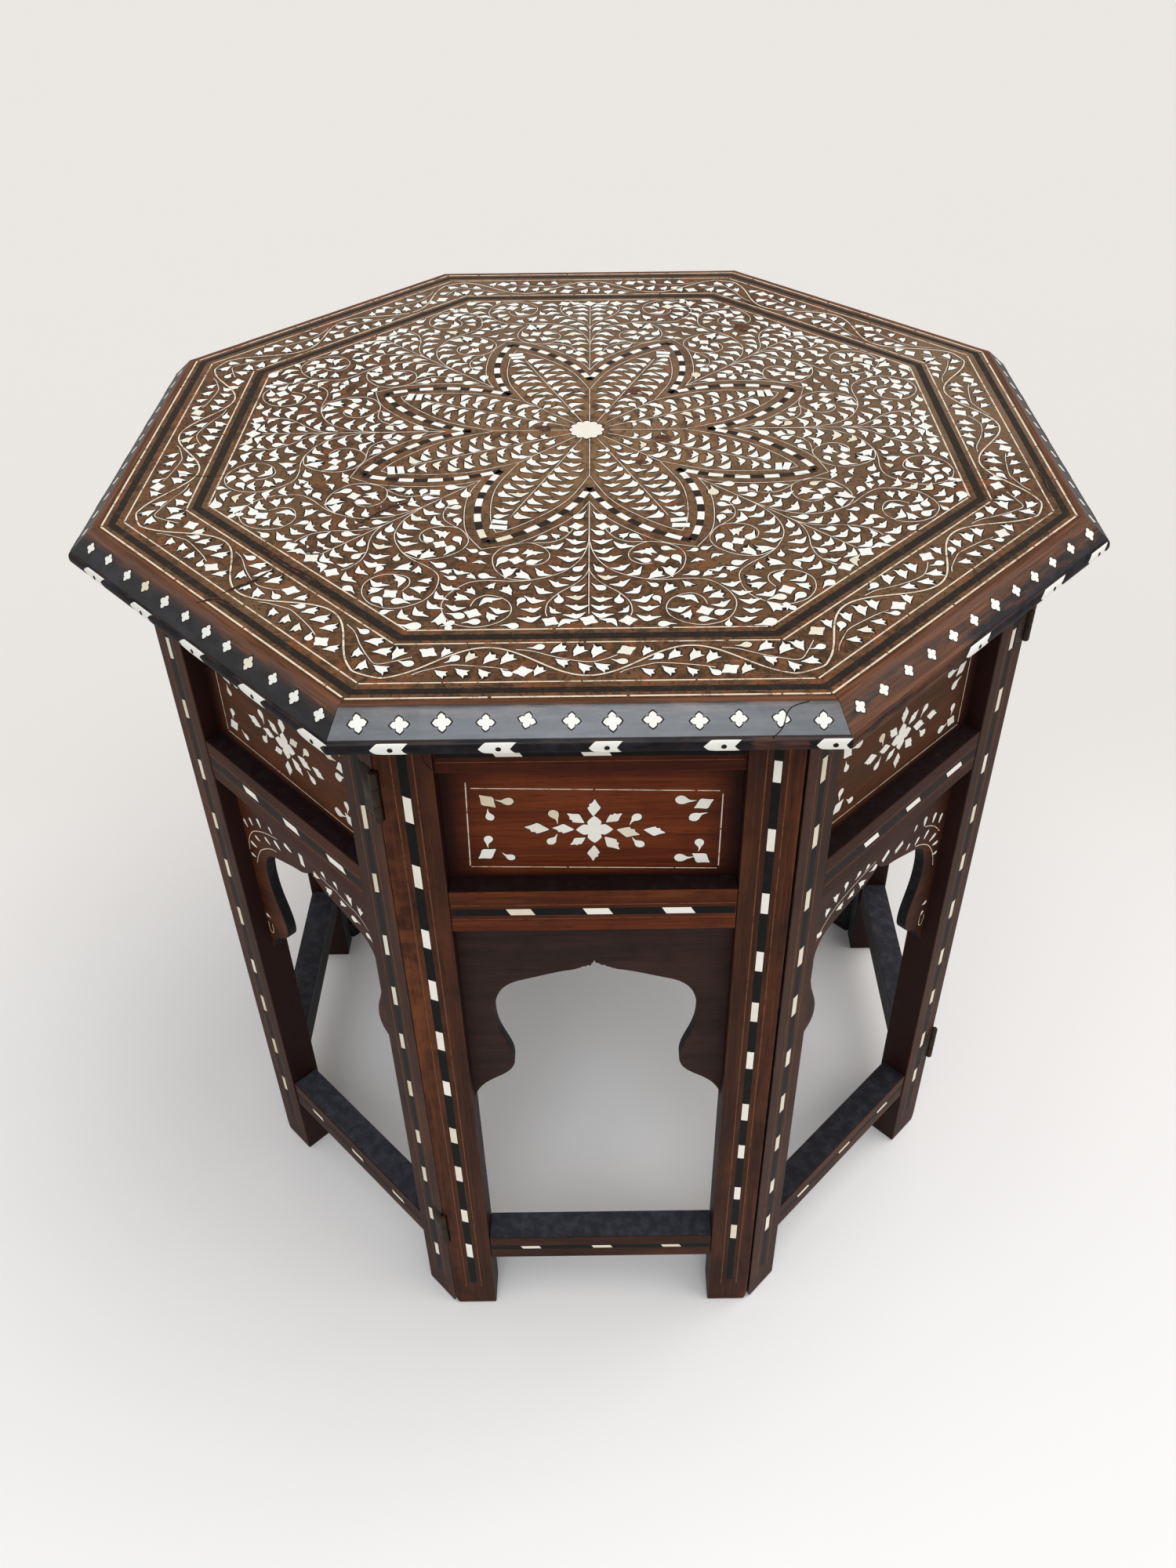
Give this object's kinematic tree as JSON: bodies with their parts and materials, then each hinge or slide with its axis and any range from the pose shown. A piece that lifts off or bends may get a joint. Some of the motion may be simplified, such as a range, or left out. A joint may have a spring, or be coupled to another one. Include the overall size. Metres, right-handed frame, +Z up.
{
  "type": "folding octagonal side table",
  "caption": "Octagonal side table: a loose inlaid wooden top on a folding base of hinged panels with cusped arches, stretchers and inlaid stiles.",
  "frame": {"origin": "on the floor under the middle of the top", "axes": "+Z up, -Y out of the front panel, +X to the right seen from the front"},
  "size_m": [0.61, 0.61, 0.603],
  "materials": {
    "frame_wood": "old wax polish on dark reddish hardwood with bone and ebonised stringing",
    "top_wood": "worn polish on mid-brown hardwood with bone inlay",
    "ebonised_wood": "ebonised, worn satin",
    "plain_dark_wood": "plain dark stain"
  },
  "bodies": {
    "front_panel": {"front_panel_left_stile": "frame_wood", "front_panel_right_stile": "frame_wood", "front_panel_frieze_board": "frame_wood", "front_panel_mid_rail": "frame_wood", "front_panel_arch_board": "plain_dark_wood", "front_panel_stretcher": "ebonised_wood"},
    "front_right_panel": {"front_right_panel_left_stile": "frame_wood", "front_right_panel_right_stile": "frame_wood", "front_right_panel_frieze_board": "frame_wood", "front_right_panel_mid_rail": "frame_wood", "front_right_panel_arch_board": "frame_wood", "front_right_panel_stretcher": "ebonised_wood"},
    "right_panel": {"right_panel_left_stile": "frame_wood", "right_panel_right_stile": "frame_wood", "right_panel_frieze_board": "frame_wood", "right_panel_mid_rail": "frame_wood", "right_panel_arch_board": "frame_wood", "right_panel_stretcher": "ebonised_wood"},
    "back_right_panel": {"back_right_panel_left_stile": "frame_wood", "back_right_panel_right_stile": "frame_wood", "back_right_panel_frieze_board": "frame_wood", "back_right_panel_mid_rail": "frame_wood", "back_right_panel_arch_board": "frame_wood", "back_right_panel_stretcher": "ebonised_wood"},
    "back_panel": {"back_panel_left_stile": "frame_wood", "back_panel_right_stile": "frame_wood", "back_panel_frieze_board": "frame_wood", "back_panel_mid_rail": "frame_wood", "back_panel_arch_board": "frame_wood", "back_panel_stretcher": "ebonised_wood"},
    "back_left_panel": {"back_left_panel_left_stile": "frame_wood", "back_left_panel_right_stile": "frame_wood", "back_left_panel_frieze_board": "frame_wood", "back_left_panel_mid_rail": "frame_wood", "back_left_panel_arch_board": "frame_wood", "back_left_panel_stretcher": "ebonised_wood"},
    "left_panel": {"left_panel_left_stile": "frame_wood", "left_panel_right_stile": "frame_wood", "left_panel_frieze_board": "frame_wood", "left_panel_mid_rail": "frame_wood", "left_panel_arch_board": "frame_wood", "left_panel_stretcher": "ebonised_wood"},
    "front_left_panel": {"front_left_panel_left_stile": "frame_wood", "front_left_panel_right_stile": "frame_wood", "front_left_panel_frieze_board": "frame_wood", "front_left_panel_mid_rail": "frame_wood", "front_left_panel_arch_board": "frame_wood", "front_left_panel_stretcher": "ebonised_wood"},
    "top": {"top_board": "top_wood", "front_edge_moulding": "ebonised_wood", "front_right_edge_moulding": "ebonised_wood", "right_edge_moulding": "ebonised_wood", "back_right_edge_moulding": "ebonised_wood", "back_edge_moulding": "ebonised_wood", "back_left_edge_moulding": "ebonised_wood", "left_edge_moulding": "ebonised_wood", "front_left_edge_moulding": "ebonised_wood"}
  },
  "joints": [
    {"name": "front_right_fold", "type": "hinge", "parent": "front_panel", "child": "front_right_panel", "pos_m": [0.10231, -0.247, 0], "axis": [0, 0, 1], "range_deg": [0, 124.8]},
    {"name": "right_fold", "type": "hinge", "parent": "front_right_panel", "child": "right_panel", "pos_m": [0.273, -0.11308, 0], "axis": [0, 0, -1], "range_deg": [0, 41.61]},
    {"name": "back_right_near_fold", "type": "hinge", "parent": "right_panel", "child": "back_right_panel", "pos_m": [0.247, 0.10231, 0], "axis": [0, 0, 1], "range_deg": [0, 124.81]},
    {"name": "back_right_far_fold", "type": "hinge", "parent": "back_right_panel", "child": "back_panel", "pos_m": [0.11308, 0.273, 0], "axis": [0, 0, -1], "range_deg": [0, 208.01]},
    {"name": "front_left_fold", "type": "hinge", "parent": "front_panel", "child": "front_left_panel", "pos_m": [-0.11308, -0.273, 0], "axis": [0, 0, 1], "range_deg": [0, 208.01]},
    {"name": "left_fold", "type": "hinge", "parent": "front_left_panel", "child": "left_panel", "pos_m": [-0.247, -0.10231, 0], "axis": [0, 0, -1], "range_deg": [0, 124.81]},
    {"name": "back_left_fold", "type": "hinge", "parent": "left_panel", "child": "back_left_panel", "pos_m": [-0.273, 0.11308, 0], "axis": [0, 0, 1], "range_deg": [0, 41.61]},
    {"name": "top_lift", "type": "slide", "parent": "front_panel", "child": "top", "axis": [0, 0, 1], "range_m": [0, 0.25]}
  ],
  "couplings": [
    {"joint": "right_fold", "follows": "front_right_fold", "ratio": 0.33333},
    {"joint": "back_right_near_fold", "follows": "front_right_fold", "ratio": 1},
    {"joint": "back_right_far_fold", "follows": "front_right_fold", "ratio": 1.6667},
    {"joint": "front_left_fold", "follows": "front_right_fold", "ratio": 1.6667},
    {"joint": "left_fold", "follows": "front_right_fold", "ratio": 1},
    {"joint": "back_left_fold", "follows": "front_right_fold", "ratio": 0.33333}
  ]
}
